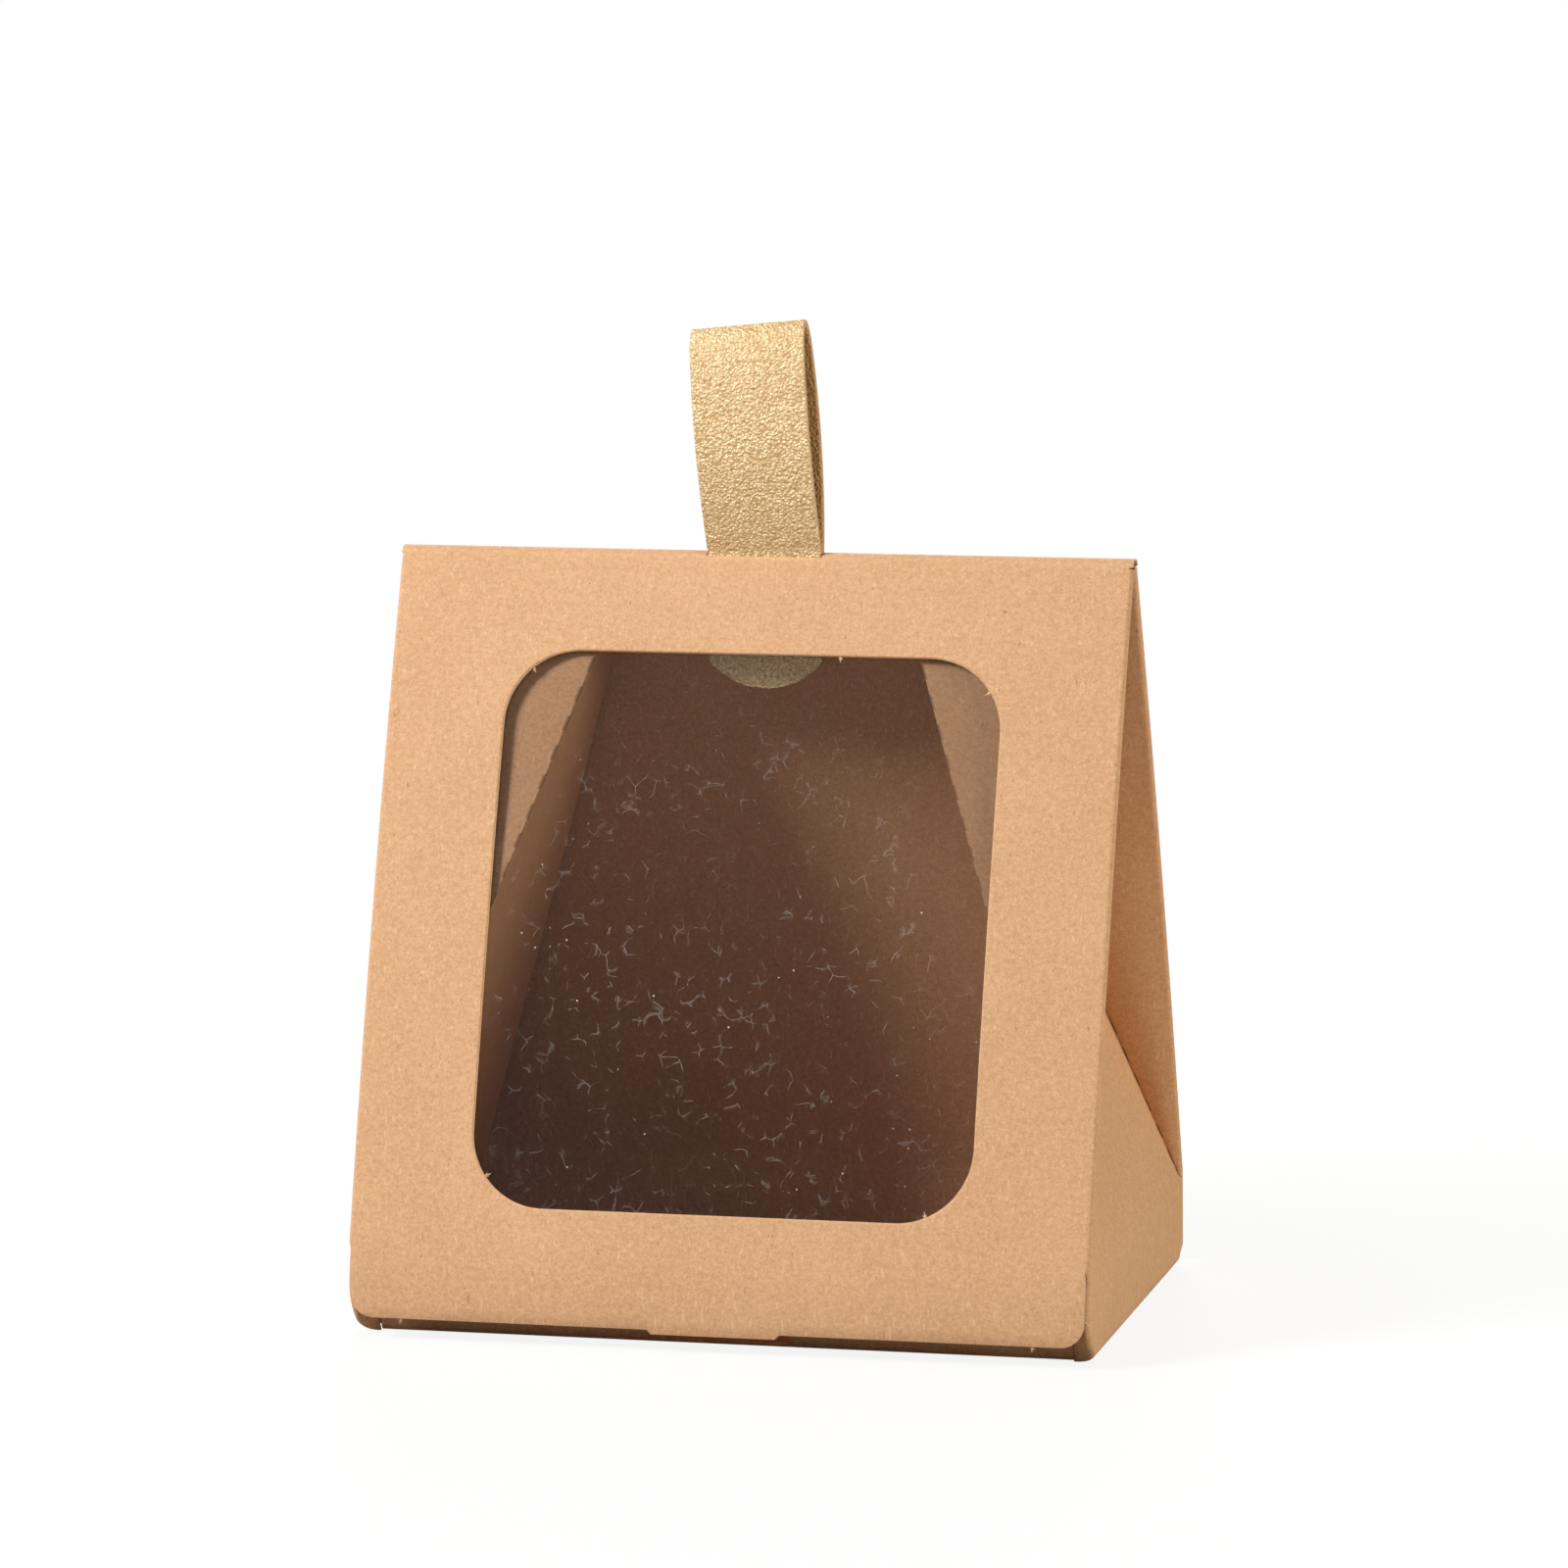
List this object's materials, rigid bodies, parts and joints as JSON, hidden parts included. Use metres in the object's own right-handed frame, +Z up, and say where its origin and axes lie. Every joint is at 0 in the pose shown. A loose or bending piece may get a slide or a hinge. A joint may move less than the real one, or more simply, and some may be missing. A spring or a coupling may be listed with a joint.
{
  "type": "gable box",
  "caption": "Small tent-shaped kraft gable box with a rounded film window, gusseted ends, a hinged base flap and a short strap handle through the ridge.",
  "frame": {"origin": "on the floor under the middle of the ridge, on the underside of the base flap", "axes": "+Z up, +X along the ridge to the right as seen from the front, the window faces -Y"},
  "size_m": [0.1, 0.0662, 0.1333],
  "materials": {
    "kraft_board": "uncoated brown kraft board, matt, with fine fibre and small dark flecks",
    "clear_film": "clear thin plastic film, glossy, lightly dusty",
    "metallic_leatherette": "pale gold metallic leatherette with a fine pebbled grain"
  },
  "bodies": {
    "carton": {"carton_shell": "kraft_board", "window_film": "clear_film", "handle_strap": "metallic_leatherette"},
    "flap": {"bottom_flap": "kraft_board"}
  },
  "joints": [
    {"name": "bottom_flap_hinge", "type": "hinge", "parent": "carton", "child": "flap", "pos_m": [0, 0.0296, 0], "axis": [1, 0, 0], "range_deg": [0, 105]}
  ]
}
